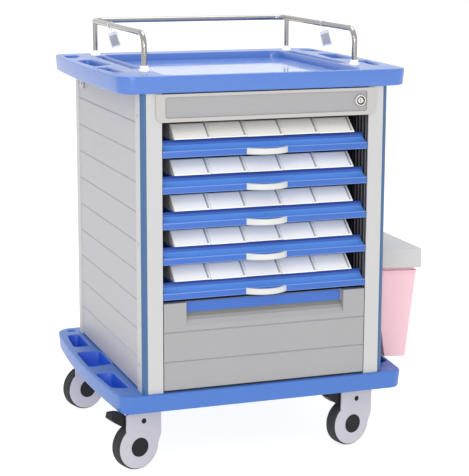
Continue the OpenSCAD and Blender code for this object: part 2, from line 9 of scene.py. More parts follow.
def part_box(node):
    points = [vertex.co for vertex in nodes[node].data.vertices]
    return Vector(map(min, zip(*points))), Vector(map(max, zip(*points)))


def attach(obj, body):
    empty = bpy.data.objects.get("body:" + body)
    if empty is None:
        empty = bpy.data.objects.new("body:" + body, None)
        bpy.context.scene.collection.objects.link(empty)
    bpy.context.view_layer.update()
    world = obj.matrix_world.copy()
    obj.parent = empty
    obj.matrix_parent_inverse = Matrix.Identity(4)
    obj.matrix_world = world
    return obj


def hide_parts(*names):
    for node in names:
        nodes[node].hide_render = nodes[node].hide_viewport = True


MM = 0.001

# Camera, measured from the cabinet's centre on the floor
CAMERA_FROM_CENTRE = Vector((-1115.6, -3201.0, 1124.6)) * MM
CAMERA_TURN = math.radians(19.61)
CAMERA_DOWN = math.radians(11.58)
CAMERA_ROLL = math.radians(0.22)
CAMERA_LENS = 119.4

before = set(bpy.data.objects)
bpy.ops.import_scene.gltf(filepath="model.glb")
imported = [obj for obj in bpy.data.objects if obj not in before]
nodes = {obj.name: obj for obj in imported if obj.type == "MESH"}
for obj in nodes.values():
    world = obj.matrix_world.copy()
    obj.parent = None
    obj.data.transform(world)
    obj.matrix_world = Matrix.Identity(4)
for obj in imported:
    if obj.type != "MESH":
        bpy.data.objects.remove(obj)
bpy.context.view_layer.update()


def cabinet_centre():
    """Middle of the cabinet's posts, on the floor."""
    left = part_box("front_post_left")
    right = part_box("front_post_right")
    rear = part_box("rear_posts")
    return Vector(((left[0][0] + right[1][0]) / 2, (left[0][1] + rear[1][1]) / 2, 0))


CENTRE = cabinet_centre()


def at(x, y, z):
    """A place in millimetres from the cabinet's centre, as a scene point."""
    return CENTRE + Vector((x, y, z)) * MM


def span(name):
    """Low and high corners of a CAD node in millimetres from the cabinet's centre."""
    low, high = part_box(name)
    return (Vector(low) - CENTRE) / MM, (Vector(high) - CENTRE) / MM


def lin(r, g, b):
    """A screen colour, 0 to 255, as linear light."""
    return tuple(((v / 255 + 0.055) / 1.055) ** 2.4 for v in (r, g, b))


CASTORS = ("fl", "fr", "bl", "br")
TRAYS = range(1, 6)

# Levels and faces of the cabinet, from the frame
post_low, post_high = span("front_post_left")
FRONT = post_low.y
BACK = span("rear_posts")[1].y
HALF = -post_low.x
OPEN_HALF = -post_high.x
BASE_TOP = post_low.z
BODY_TOP = post_high.z
BASE_BOTTOM = span("base_moulding")[0].z
RIM_TOP = span("top_tray")[1].z


# ---------- materials ----------


def new_material(name, colour, roughness, **sockets):
    """A material whose even values sit on the shader's own sockets."""
    material = bpy.data.materials.new(name)
    material.use_nodes = True
    shader = material.node_tree.nodes["Principled BSDF"]
    shader.inputs["Base Color"].default_value = (*colour, 1)
    shader.inputs["Roughness"].default_value = roughness
    for socket, value in sockets.items():
        shader.inputs[socket.replace("_", " ")].default_value = value
    return material


# Noise scales are per metre. The colour sockets of a Mix node are known only by number
GLOSS_PATCH = 55
NOISE_LOW, NOISE_HIGH = 0.3, 0.7
MIX_FACTOR, MIX_A, MIX_B, MIX_RESULT = 0, 6, 7, 2


def noise(tree, scale, detail, stretch):
    """Noise over the piece's own coordinates."""
    coords = tree.nodes.new("ShaderNodeTexCoord")
    mapping = tree.nodes.new("ShaderNodeMapping")
    mapping.inputs["Scale"].default_value = stretch
    texture = tree.nodes.new("ShaderNodeTexNoise")
    texture.inputs["Scale"].default_value = scale
    texture.inputs["Detail"].default_value = detail
    tree.links.new(coords.outputs["Object"], mapping.inputs["Vector"])
    tree.links.new(mapping.outputs["Vector"], texture.inputs["Vector"])
    return texture.outputs["Fac"]


def spread(tree, value, low, high):
    """The middle of a noise value stretched to a low and a high."""
    ranged = tree.nodes.new("ShaderNodeMapRange")
    ranged.inputs["From Min"].default_value = NOISE_LOW
    ranged.inputs["From Max"].default_value = NOISE_HIGH
    ranged.inputs["To Min"].default_value = low
    ranged.inputs["To Max"].default_value = high
    tree.links.new(value, ranged.inputs["Value"])
    return ranged.outputs["Result"]


def surface(name, colour, roughness, grain=1400, depth=0.12, mottle=0.035, sheen_spread=0.06,
            stretch=(1, 1, 1), tint=None, patch=9, relief=0.0002, **sockets):
    """Moulded, painted or drawn surface: grain in the bump, unevenness in colour and gloss."""
    material = new_material(name, colour, roughness, **sockets)
    tree = material.node_tree
    shader = tree.nodes["Principled BSDF"]
    mix = tree.nodes.new("ShaderNodeMix")
    mix.data_type = "RGBA"
    light = tint or tuple(min(1, c * (1 + mottle)) for c in colour)
    mix.inputs[MIX_A].default_value = (*(c * (1 - mottle) for c in colour), 1)
    mix.inputs[MIX_B].default_value = (*light, 1)
    tree.links.new(spread(tree, noise(tree, patch, 4, stretch), 0, 1), mix.inputs[MIX_FACTOR])
    tree.links.new(mix.outputs[MIX_RESULT], shader.inputs["Base Color"])
    gloss = noise(tree, GLOSS_PATCH, 4, stretch)
    rough = spread(tree, gloss, roughness - sheen_spread, roughness + sheen_spread)
    tree.links.new(rough, shader.inputs["Roughness"])
    bump = tree.nodes.new("ShaderNodeBump")
    bump.inputs["Strength"].default_value = depth
    bump.inputs["Distance"].default_value = relief
    tree.links.new(noise(tree, grain, 2, stretch), bump.inputs["Height"])
    tree.links.new(bump.outputs["Normal"], shader.inputs["Normal"])
    return material


# Finishes that several materials share
MOULDED = {"grain": 1800, "depth": 0.04, "sheen_spread": 0.03}
MOULDED_FINE = {"grain": 1800, "depth": 0.03, "sheen_spread": 0.03}
GLOSSY = {"mottle": 0.01, "depth": 0.03, "sheen_spread": 0.03}
SATIN = {"mottle": 0.012, "depth": 0.08, "sheen_spread": 0.03}

blue = surface("blue_abs", lin(68, 112, 190), 0.42, mottle=0.012, **MOULDED, Coat_Weight=0.5,
               Coat_Roughness=0.14)
base_blue = surface("base_blue", lin(58, 106, 184), 0.42, mottle=0.012, **MOULDED, Coat_Weight=0.15,
                    Coat_Roughness=0.2)
# Darker blue painted inside the base's pockets as shade
painted_pocket_shade = surface("painted_pocket_shade", lin(36, 88, 202), 0.4, mottle=0.02, **MOULDED)
# Near-navy painted on the top of each tray's cove as the shadow under the boxes' noses
under_box_shadow_blue = surface("under_box_shadow_blue", lin(8, 58, 150), 0.4, mottle=0.015, **MOULDED_FINE)
tray_blue = surface("tray_blue", lin(50, 98, 182), 0.36, mottle=0.015, **MOULDED)
# Lighter blue painted on the trays' coves as a highlight
cove_highlight_blue = surface("cove_highlight_blue", lin(80, 134, 216), 0.3, mottle=0.015, **MOULDED_FINE)
# Lighter blue painted on the trays' lip edges as highlights
edge_highlight_blue = surface("edge_highlight_blue", lin(102, 138, 212), 0.35, mottle=0.02, **MOULDED_FINE)
# Blue darkened as painted shade of the recessed corner strips
shaded_strip_blue = surface("shaded_strip_blue", lin(54, 94, 138), 0.45, stretch=(1, 1, 0.2), mottle=0.02,
                     sheen_spread=0.03)
white = surface("white_plastic", lin(204, 206, 204), 0.34, **GLOSSY)
label_white = surface("label_card", lin(252, 250, 243), 0.45, mottle=0.01, depth=0.03)
rim_white = surface("label_rim", lin(253, 251, 243), 0.25, mottle=0.005, depth=0.02)
box_clear = surface("box_plastic", lin(192, 194, 200), 0.3, **GLOSSY)
post_paint = surface("post_aluminium", lin(185, 185, 187), 0.45, stretch=(1, 1, 0.15), mottle=0.01,
                     sheen_spread=0.03)
panel_paint = surface("panel_lavender", lin(172, 172, 179), 0.45, grain=1800, stretch=(1, 0.3, 1),
                      mottle=0.008, depth=0.05, sheen_spread=0.02, Specular_IOR_Level=0.3)
fascia_grey = surface("fascia_grey", lin(176, 174, 173), 0.5, **SATIN)
recess_grey = surface("drawer_grey", lin(153, 153, 156), 0.52, **SATIN)
# Two greys painted on the drawer grip's slope as shade under its overhang
grip_shade_dark = surface("grip_shade_dark", lin(112, 112, 110), 0.55, **SATIN)
grip_shade_mid = surface("grip_shade_mid", lin(136, 136, 137), 0.55, **SATIN)
lid_grey = surface("lid_grey", lin(188, 189, 191), 0.45, **SATIN)
# Near-black; on the base's plinth it is painted shade for the gap under the cabinet
dark = surface("liner_dark", lin(30, 30, 36), 0.55, mottle=0.08)
pink = surface("bin_pink", lin(232, 190, 200), 0.4, depth=0.04, mottle=0.012, sheen_spread=0.03,
               Subsurface_Weight=0.08, Subsurface_Scale=0.01)
tyre = surface("tyre_rubber", lin(40, 41, 44), 0.8, grain=900, depth=0.25, mottle=0.1)
castor_grey = surface("castor_grey", lin(180, 178, 188), 0.38, depth=0.05, mottle=0.015, sheen_spread=0.03)
hub_dark = surface("hub_dark", lin(12, 12, 18), 0.5, depth=0.1, mottle=0.08, Specular_IOR_Level=0.3)
steel = surface("polished_steel", (0.37, 0.36, 0.355), 0.14, grain=300, depth=0.03, mottle=0.04,
                sheen_spread=0.04, Metallic=1.0)
zinc = surface("zinc_steel", (0.5, 0.51, 0.53), 0.36, grain=500, depth=0.1, mottle=0.12, Metallic=1.0)
chrome = surface("lock_chrome", (0.72, 0.71, 0.69), 0.12, grain=300, depth=0.03, mottle=0.05,
                 sheen_spread=0.03, Metallic=1.0)
film = surface("clear_mat", lin(104, 148, 224), 0.16, grain=9, depth=1.0, mottle=0.05, sheen_spread=0.04,
               tint=lin(128, 164, 230), patch=4, relief=0.0016, stretch=(1, 2, 1), Coat_Weight=0.75,
               Coat_Roughness=0.04)
pouch_clear = surface("clear_pouch", lin(232, 233, 236), 0.15, grain=160, depth=0.5, mottle=0.06)
print_grey = surface("pouch_card", lin(176, 177, 180), 0.5, grain=260, depth=0.2, mottle=0.2)
string_white = surface("string", lin(226, 225, 223), 0.8, grain=1200, depth=0.6, mottle=0.05)
# Lighter grey painted on the front ribs as light near the opening
lit_rib_grey = surface("lit_rib_grey", lin(92, 92, 98), 0.45)


def paint(material, *names):
    """One material for the whole of each CAD node."""
    for name in names:
        data = nodes[name].data
        data.materials.clear()
        data.materials.append(material)


def castor_nodes(*parts):
    """Names of the same CAD nodes on all four castors."""
    return [f"castor_{c}_{part}" for c in CASTORS for part in parts]


def paint_frame():
    """Materials of the CAD nodes that stay."""
    paint(tray_blue, "drawer_grip_band")
    paint(white, "floor_panel", "drawer_box")
    paint(post_paint, "front_post_left", "front_post_right", "rear_posts")
    paint(panel_paint, "side_panel_left", "side_panel_right", "back_panel")
    paint(fascia_grey, "lock_fascia")
    paint(recess_grey, "drawer_front")
    paint(lid_grey, "bin_lid")
    paint(pink, "bin_body")
    paint(film, "tray_mat")
    paint(steel, "lock_barrel")
    paint(chrome, "lock_plug")
    paint(zinc, "lock_bar", "drawer_rails", "drawer_runners", "bin_bracket", "castor_sockets", "panel_screws")
    paint(castor_grey, *castor_nodes("housing"))
    paint(hub_dark, *castor_nodes("wheel"), "castor_fl_pedal", "castor_fr_pedal")


def round_edges(obj, width, angle):
    """A narrow bevel along every edge sharper than an angle."""
    bevel = obj.modifiers.new("edges", "BEVEL")
    bevel.width = width * MM
    bevel.segments = 2
    bevel.limit_method = "ANGLE"
    bevel.angle_limit = math.radians(angle)


def soften(width, *names):
    """Rounded edges on CAD pieces that stay as they are."""
    for name in names:
        round_edges(nodes[name], width, 40)


# ---------- mesh helpers ----------

ROUND_STEPS = 4     # steps in a quarter turn of a moulded edge


def fillet(points, radii, steps, closed=True):
    """A path or outline with its corners rounded."""
    points = [Vector(p) for p in points]
    if not isinstance(radii, (list, tuple)):
        radii = [radii] * len(points)
    out = []
    for i, (p, r) in enumerate(zip(points, radii)):
        ends = not closed and i in (0, len(points) - 1)
        if r <= 0 or ends:
            out.append(p)
            continue
        before = points[i - 1] - p
        after = points[(i + 1) % len(points)] - p
        half = before.angle(after) / 2
        reach = min(r / math.tan(half), 0.49 * before.length, 0.49 * after.length)
        r = reach * math.tan(half)
        middle = p + (before.normalized() + after.normalized()).normalized() * (r / math.sin(half))
        start = p + before.normalized() * reach - middle
        end = p + after.normalized() * reach - middle
        turn = start.angle(end)
        for k in range(steps + 1):
            t = k / steps
            near, far = math.sin((1 - t) * turn), math.sin(t * turn)
            out.append(middle + (near * start + far * end) / math.sin(turn))
    return out


def inset(outline, by):
    """A counter-clockwise outline moved inwards, point for point."""
    out = []
    for i, p in enumerate(outline):
        along = (outline[(i + 1) % len(outline)] - outline[i - 1]).normalized()
        out.append(p + Vector((-along.y, along.x)) * by)
    return out


def stack(outline, profile):
    """Rings of an outline at each (height, inset) of a profile, bottom first."""
    return [[at(p.x, p.y, z) for p in inset(outline, by)] for z, by in profile]


def wall(low, high, draft, r_low, r_high):
    """Profile of a drafted wall with rounded bottom and top edges."""
    profile = []
    turns = [math.pi / 2 * k / ROUND_STEPS for k in range(ROUND_STEPS + 1)]
    for a in turns:
        profile.append((low + r_low * (1 - math.cos(a)), draft + r_low * (1 - math.sin(a))))
    for a in turns:
        profile.append((high - r_high * (1 - math.sin(a)), r_high * (1 - math.cos(a))))
    return profile


def loft(bm, rings, closed=False, material=0):
    """Faces between rings, capped at both ends unless they close on themselves."""
    rows = [[bm.verts.new(p) for p in ring] for ring in rings]
    pairs = list(zip(rows, rows[1:]))
    if closed:
        pairs.append((rows[-1], rows[0]))
    faces = []
    for low, high in pairs:
        for i in range(len(low)):
            j = (i + 1) % len(low)
            faces.append(bm.faces.new((low[i], low[j], high[j], high[i])))
    if not closed:
        faces.append(bm.faces.new(rows[0][::-1]))
        faces.append(bm.faces.new(rows[-1]))
    for face in faces:
        face.material_index = material
    return faces


def piece(name, bm, materials, body, replaces=None, bevel=0.0, angle=32):
    """Turns a finished bmesh into an object that rides on a body."""
    bmesh.ops.recalc_face_normals(bm, faces=bm.faces)
    mesh = bpy.data.meshes.new(name)
    bm.to_mesh(mesh)
    bm.free()
    for material in materials:
        mesh.materials.append(material)
    mesh.shade_smooth()
    mesh.set_sharp_from_angle(angle=math.radians(angle))
    obj = bpy.data.objects.new(name, mesh)
    bpy.context.scene.collection.objects.link(obj)
    if bevel:
        round_edges(obj, bevel, 38)
    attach(obj, body)
    if replaces:
        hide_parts(replaces)


def carve(bm, cutter):
    """The first solid with the second taken away; both are used up."""
    pair = []
    for name, source in (("solid", bm), ("cutter", cutter)):
        bmesh.ops.recalc_face_normals(source, faces=source.faces)
        mesh = bpy.data.meshes.new(name)
        source.to_mesh(mesh)
        source.free()
        obj = bpy.data.objects.new(name, mesh)
        bpy.context.scene.collection.objects.link(obj)
        pair.append(obj)
    cut = pair[0].modifiers.new("cut", "BOOLEAN")
    cut.operation = "DIFFERENCE"
    cut.solver = "EXACT"
    cut.use_self = True
    cut.object = pair[1]
    depsgraph = bpy.context.evaluated_depsgraph_get()
    result = bmesh.new()
    result.from_object(pair[0], depsgraph)
    for obj in pair:
        mesh = obj.data
        bpy.data.objects.remove(obj)
        bpy.data.meshes.remove(mesh)
    return result


def absorb(bm, source):
    """Copies a second bmesh into the first and uses it up."""
    mesh = bpy.data.meshes.new("spare")
    source.to_mesh(mesh)
    source.free()
    bm.from_mesh(mesh)
    bpy.data.meshes.remove(mesh)


def block(bm, low, high, material=0):
    """A plain block between two corners, to be cut or rounded later."""
    outline = [Vector((low[0], low[1])), Vector((high[0], low[1])),
               Vector((high[0], high[1])), Vector((low[0], high[1]))]
    rings = [[at(p.x, p.y, z) for p in outline] for z in (low[2], high[2])]
    loft(bm, rings, material=material)


def circle(centre, side, up, radius, count):
    """A ring of scene points."""
    return [
        centre + (side * math.cos(a) + up * math.sin(a)) * radius
        for a in (2 * math.pi * k / count for k in range(count))
    ]


def tube(bm, path, radius, count, material=0):
    """A round bar along scene points, without twist."""
    rings = []
    side = None
    for i, p in enumerate(path):
        ahead = (path[min(i + 1, len(path) - 1)] - path[max(i - 1, 0)]).normalized()
        if side is None:
            side = ahead.orthogonal().normalized()
        side = (side - ahead * side.dot(ahead)).normalized()
        rings.append(circle(p, side, ahead.cross(side), radius * MM, count))
    loft(bm, rings, material=material)


def turned(bm, profile, centre, axis, closed=False, count=48, material=0):
    """A turned shape: (radius, distance along the axis) pairs in millimetres."""
    side = axis.orthogonal().normalized()
    up = axis.cross(side)
    rings = [circle(centre + axis * along * MM, side, up, max(radius, 0.02) * MM, count)
             for radius, along in profile]
    loft(bm, rings, closed=closed, material=material)


def both(outline):
    """An outline and its left-hand copy, both counter-clockwise."""
    return [outline, [Vector((-p[0], p[1])) for p in reversed(outline)]]


# ---------- mouldings ----------

# The wings' long sides are arcs, widest a little behind the middle
BASE_BOW, TOP_BOW = 2600, 3790
WIDEST = 10
BOW_END = 70
BOW_STEPS = 8

# Corners of the right wing's pockets, from the back to the front
BASE_POCKETS = [
    [(303, 238), (275, 239), (276, 134), (313, 132)],
    [(318, 88), (265, 86), (265, -22), (320, -36)],
    [(320, -86), (282, -90), (279, -212), (313, -196)],
]
TOP_POCKETS = [
    [(303, 235), (272, 245), (268, 215), (306, 137)],
    [(304, 98), (270, 135), (255, -5), (300, -38)],
    [(305, -72), (280, -55), (272, -195), (294, -165)],
]
BASE_POCKET_DEEP, TOP_POCKET_DEEP = 28, 24
POCKET_CORNER = 9

# The space inside the base's pockets, where shade is painted: how far in from the opening, the wing's edge,
# the front and the back
POCKET_FROM_OPENING, POCKET_FROM_EDGE, POCKET_FROM_FRONT, POCKET_FROM_BACK = 22, 6, 70, 45
POCKET_FROM_TOP = (32, 2)

# Round hole behind the base's pockets
HOLE_X, HOLE_FROM_BACK, HOLE_RADIUS, HOLE_DEEP, HOLE_STEPS = 285, 29, 9.5, 20, 24

# Recess for the mat, and the long slot between it and the wing's pockets
RECESS_HALF = 213
RECESS_FRONT = FRONT + 6
RECESS_BACK = RECESS_FRONT + 490
RECESS_DEEP = 17
SLOT_LEFT, SLOT_RIGHT, SLOT_FRONT, SLOT_BACK, SLOT_DEEP = RECESS_HALF + 6, 239, -115, 200, 9


def bowed(half, front, back, bow, front_corner, back_corner):
    """Rounded rectangle with long arcs for sides, counter-clockwise."""
    def edge(y):
        return half - (y - WIDEST) ** 2 / (2 * bow)

    length = back - front - 2 * BOW_END
    sides = [front + BOW_END + length * k / BOW_STEPS for k in range(BOW_STEPS + 1)]
    right = [(edge(y), y) for y in (front, *sides, back)]
    radii = [front_corner] + [0] * (BOW_STEPS + 1) + [back_corner]
    left = [(-x, y) for x, y in reversed(right)]
    return fillet(right + left, radii + radii[::-1], steps=8)


def pocket(bm, outline, deep, top):
    """Cutter for a tapered pocket with a soft rim."""
    floor = top - deep
    profile = [(floor, 4.0), (floor + 1.2, 2.2), (top - 3, 0.4), (top - 1.3, -0.3), (top - 0.4, -1.3),
               (top + 1, -3.0)]
    loft(bm, stack(outline, profile))


def paint_pocket_shade(bm, low, high, material):
    """Paints shade into the base's wing pockets: the faces inside them get a darker blue material."""
    for face in bm.faces:
        place = (face.calc_center_median() - CENTRE) / MM
        edge = high.x - (place.y - WIDEST) ** 2 / (2 * BASE_BOW)
        across = OPEN_HALF + POCKET_FROM_OPENING < abs(place.x) < edge - POCKET_FROM_EDGE
        along = low.y + POCKET_FROM_FRONT < place.y < high.y - POCKET_FROM_BACK
        deepest, shallowest = POCKET_FROM_TOP
        if across and along and BASE_TOP - deepest < place.z < BASE_TOP - shallowest:
            face.material_index = material


def base_moulding():
    """Bowed base with pockets in its wings, and the dark plinth between it and the cabinet, its near-black a
    painted shade for the gap.
    """
    low, high = span("base_moulding")
    plinth_shade_material, pocket_shade_material = 1, 2
    body = bmesh.new()
    outline = bowed(high.x + 1.5, low.y, high.y, BASE_BOW, front_corner=28, back_corner=48)
    loft(body, stack(outline, wall(BASE_BOTTOM, BASE_TOP, draft=3, r_low=4, r_high=4)))
    cutter = bmesh.new()
    for corners in BASE_POCKETS:
        for outline in both(fillet(corners, POCKET_CORNER, 4)):
            pocket(cutter, outline, BASE_POCKET_DEEP, BASE_TOP)
    hole_y = high.y - HOLE_FROM_BACK
    hole = [Vector((HOLE_X + HOLE_RADIUS * math.cos(a), hole_y + HOLE_RADIUS * math.sin(a)))
            for a in (2 * math.pi * k / HOLE_STEPS for k in range(HOLE_STEPS))]
    for outline in both(hole):
        pocket(cutter, outline, HOLE_DEEP, BASE_TOP)
    bm = carve(body, cutter)
    # Painted shade: the faces inside the wing pockets get the darker blue
    paint_pocket_shade(bm, low, high, pocket_shade_material)
    # The plinth is set back under the cabinet; its near-black is painted shade for the gap between base and
    # cabinet
    plinth_half = OPEN_HALF - 1
    block(bm, (-plinth_half, FRONT + 3, BASE_TOP - 0.5), (plinth_half, BACK - 12, BASE_TOP + 3),
          plinth_shade_material)
    piece("base", bm, (base_blue, dark, painted_pocket_shade), "cabinet", "base_moulding")


def top_tray():
    """Top moulding with the mat's recess, and a slot and pockets in each wing."""
    low, high = span("top_tray")
    body = bmesh.new()
    outline = bowed(high.x + 1, low.y, high.y, TOP_BOW, front_corner=40, back_corner=28)
    loft(body, stack(outline, wall(BODY_TOP, RIM_TOP, draft=2, r_low=4, r_high=3)))
    cutter = bmesh.new()
    recess = fillet([(-RECESS_HALF, RECESS_FRONT), (RECESS_HALF, RECESS_FRONT),
                     (RECESS_HALF, RECESS_BACK), (-RECESS_HALF, RECESS_BACK)], 26, 8)
    rim = [(RIM_TOP - 2.6, 0.2), (RIM_TOP - 0.9, -0.7), (RIM_TOP + 1, -2.6)]
    loft(cutter, stack(recess, [(RIM_TOP - RECESS_DEEP, 0.6), *rim]))
    slot = fillet([(SLOT_LEFT, SLOT_FRONT), (SLOT_RIGHT, SLOT_FRONT),
                   (SLOT_RIGHT, SLOT_BACK), (SLOT_LEFT, SLOT_BACK)], 8, 5)
    rim = [(RIM_TOP - 2, 0), (RIM_TOP - 0.6, -0.7), (RIM_TOP + 1, -2)]
    for outline in both(slot):
        loft(cutter, stack(outline, [(RIM_TOP - SLOT_DEEP, 1.5), *rim]))
    for corners in TOP_POCKETS:
        for outline in both(fillet(corners, POCKET_CORNER, 4)):
            pocket(cutter, outline, TOP_POCKET_DEEP, RIM_TOP)
    piece("top_moulding", carve(body, cutter), (blue,), "cabinet", "top_tray")


# ---------- rail and tags ----------

rail_low, rail_high = span("guard_rail")
RAIL_RADIUS = 6
RAIL_HALF = rail_high.x - RAIL_RADIUS
RAIL_FRONT = rail_low.y + RAIL_RADIUS
RAIL_BACK = rail_high.y - RAIL_RADIUS
RAIL_Z = rail_high.z - RAIL_RADIUS
RAIL_BEND = 28
RAIL_FOOT = RIM_TOP - 1

# The rear feet meet the rail a little way round its back bends
FOOT_TURN = math.radians(10)
REAR_FOOT = (
    RAIL_HALF - RAIL_BEND * (1 - math.cos(FOOT_TURN)),
    RAIL_BACK - RAIL_BEND * (1 - math.sin(FOOT_TURN)),
)


def guard_rail():
    """Three-sided tube rail: one bent tube and two rear feet."""
    bm = bmesh.new()
    bends = [(RAIL_FRONT, RAIL_FOOT), (RAIL_FRONT, RAIL_Z), (RAIL_BACK, RAIL_Z)]
    left = [(-RAIL_HALF, y, z) for y, z in bends]
    right = [(-x, y, z) for x, y, z in reversed(left)]
    path = fillet(left + right, RAIL_BEND, 10, closed=False)
    tube(bm, [at(*p) for p in path], RAIL_RADIUS, 24)
    for s in (-1, 1):
        x, y = s * REAR_FOOT[0], REAR_FOOT[1]
        tube(bm, [at(x, y, RAIL_FOOT), at(x, y, RAIL_Z)], RAIL_RADIUS - 0.4, 24)
    piece("rail_tube", bm, (steel,), "cabinet", "guard_rail")


def rail_flanges():
    """White collars round the rail's four feet."""
    bm = bmesh.new()
    profile = [(6.1, 0.2), (11, 0.2), (11.2, 1.4), (11, 3.4), (10.2, 4.8), (9, 5.6), (8.6, 9.8), (7.9, 11.4),
               (6.1, 11.9)]
    for s in (-1, 1):
        for x, y in ((RAIL_HALF, RAIL_FRONT), REAR_FOOT):
            turned(bm, profile, at(s * x, y, RIM_TOP - 0.2), Vector((0, 0, 1)), closed=True, count=36)
    piece("rail_collars", bm, (rim_white,), "cabinet", "rail_flanges", angle=40)


TAG_TURN = math.radians(-20)
LOOP_GAP = 1.0
LOOP_START, LOOP_SWEEP, LOOP_STEPS = -70, 320, 20
LOOP_RADIUS, STRING_RADIUS, STRING_SIDES = 0.8, 0.7, 8
POUCH_DROP, CARD_DROP, CARD_MARGIN = 7, 14, 2.5


def tag(name, side, width, height, lean):
    """A clear pouch with a card in it, tied on the rail with a loop of string."""
    low, high = span(name)
    y = (low.y + high.y) / 2
    x = side * RAIL_HALF
    pouch, card, string = 0, 1, 2
    bm = bmesh.new()
    ring = RAIL_RADIUS + LOOP_GAP
    loop = [at(x + ring * math.cos(a), y + 1.2 * math.sin(3 * a), RAIL_Z + ring * math.sin(a))
            for a in (math.radians(LOOP_START + LOOP_SWEEP * k / LOOP_STEPS) for k in range(LOOP_STEPS + 1))]
    tube(bm, loop, LOOP_RADIUS, STRING_SIDES, string)
    knot = at(x, y, RAIL_Z - ring - 2)
    tilt = Matrix.Rotation(math.radians(lean), 3, "Y") @ Matrix.Rotation(TAG_TURN, 3, "Z")

    def hang(across, out, down):
        return knot + tilt @ Vector((across, out, -down)) * MM

    for s in (-1, 1):
        start = at(x + s * 2.5, y, RAIL_Z - ring + 0.4)
        path = [start, hang(s * 1.2, 0, 1), hang(0.4 * s, 0.6, 5), hang(0, 0, 9.5)]
        tube(bm, path, STRING_RADIUS, STRING_SIDES, string)

    def sheet(half, top, bottom, thick, material, bow=1.4):
        outline = fillet([(-half, -bottom), (half, -bottom), (half, -top), (-half, -top)], 2.2, 4)
        rings = []
        for level, scale in ((-thick, 0.94), (-thick * 0.6, 1), (thick * 0.6, 1), (thick, 0.94)):
            rings.append([hang(p.x * scale, level + bow * math.cos(p.x / half * 1.4), -p.y * scale)
                          for p in outline])
        loft(bm, rings, material=material)

    foot = POUCH_DROP + height
    sheet(width / 2, POUCH_DROP, foot, 1.0, pouch)
    sheet(width / 2 - CARD_MARGIN, CARD_DROP, foot - CARD_MARGIN, 1.5, card)
    piece(name + "_pouch", bm, (pouch_clear, print_grey, string_white), name, name)


# ---------- trays ----------

shell_high = span("tray_1_shell")[1]
TRAY_HALF = shell_high.x
TRAY_BACK = shell_high.y
row_low, row_high = span("tray_1_boxes")
BOX_COUNT = 5
BOX_GAP = 1.2
BOX_PITCH = (row_high.x - row_low.x + BOX_GAP) / BOX_COUNT
BOX_WIDTH = BOX_PITCH - BOX_GAP
ROW_LEFT = row_low.x - BOX_GAP / 2
BOX_BACK = row_high.y
BOX_WALL, BOX_END_WALL = 1.6, 1.8

# A tray's lip, and the foot and head of its boxes' slanted faces, as (y, height over the tray)
LIP = 14
NOSE = (FRONT + 8, 35.5)
FACE_TOP = (FRONT + 44, 63.0)

PAN_HALF, PAN_BOTTOM, PAN_TOP = 199, 2, 33
PAN_WALL, PAN_BACK_WALL = 2.4, 2.5
RUNNER_LOW, RUNNER_HIGH = 9, 12
GRIP_HALF_DEEP, GRIP_HALF_TALL, GRIP_STEPS = 3, 6.3, 28


def tray_level(k):
    """Height of a tray's underside, from its handle."""
    return span(f"tray_{k}_handle")[0].z - 0.5


def arc(y, z, radius, start, end):
    """Points of an arc, its angles in degrees."""
    turns = [math.radians(start + (end - start) * k / ROUND_STEPS) for k in range(ROUND_STEPS + 1)]
    return [(y + radius * math.cos(a), z + radius * math.sin(a)) for a in turns]


def front_profile():
    """Lip and cove as (y, z) pairs, from the underside round the front to the top."""
    lip = arc(1.6, 1.6, 1.6, 270, 180) + arc(1.8, LIP - 1.8, 1.8, 180, 90)
    cove = [(5, 14.8), (9, 16.7), (13, 19.4), (16.4, 23.2), (18.7, 28), (19.7, 32.3), (20.6, 33),
            (22.2, 32.6)]
    return lip + cove + [(22.4, 2), (21, 2)]


def tray_shell(k):
    """A tray's lip and cove, the pan behind them and its two runners; the cove and the lip's edges carry
    painted highlights and the cove's top a painted shadow.
    """
    z0 = tray_level(k)
    # The cove, edge and deep slots are painted light: a highlight, edge highlights and a shadow
    cove, edge, deep = 1, 2, 3
    bm = bmesh.new()
    profile = front_profile()

    def reach(z):
        return TRAY_HALF + 1.6 if z <= LIP else TRAY_HALF - 0.4 - (z - LIP) * 3 / 19

    rings = []
    for s in (-1, -0.995, 0.995, 1):
        trim = 0.6 if abs(s) == 1 else 0
        rings.append([at(s * reach(z), FRONT + y + (trim if y < 2 else 0), z0 + z) for y, z in profile])
    for face in loft(bm, rings):
        middle = (face.calc_center_median() - CENTRE) / MM
        y, z = middle.y - FRONT, middle.z - z0
        # Painted highlight: the cove's lower faces get the lighter blue
        if 2 < y < 16:
            face.material_index = cove
        # Painted shadow: the cove's top, just under the boxes' noses, gets the near-navy blue
        elif y > 18.4 and z > 26:
            face.material_index = deep
        # Painted highlight: the lip's top and bottom edges get the lighter blue
        elif y < 2 and (z < 2 or z > LIP - 1.6):
            face.material_index = edge
    pan = bmesh.new()
    block(pan, (-PAN_HALF, FRONT + 20.4, z0 + PAN_BOTTOM), (PAN_HALF, TRAY_BACK, z0 + PAN_TOP))
    hollow = bmesh.new()
    hollow_half = PAN_HALF - PAN_WALL
    block(hollow, (-hollow_half, FRONT + 22.6, z0 + 4.5), (hollow_half, TRAY_BACK - PAN_BACK_WALL, z0 + 60))
    absorb(bm, carve(pan, hollow))
    for s in (-1, 1):
        left, right = sorted((s * (PAN_HALF - 0.5), s * TRAY_HALF))
        block(bm, (left, FRONT + 22.4, z0 + RUNNER_LOW), (right, TRAY_BACK, z0 + RUNNER_HIGH))
    materials = (tray_blue, cove_highlight_blue, edge_highlight_blue, under_box_shadow_blue)
    piece(f"tray_{k}_moulding", bm, materials, f"tray_{k}", f"tray_{k}_shell", angle=35)


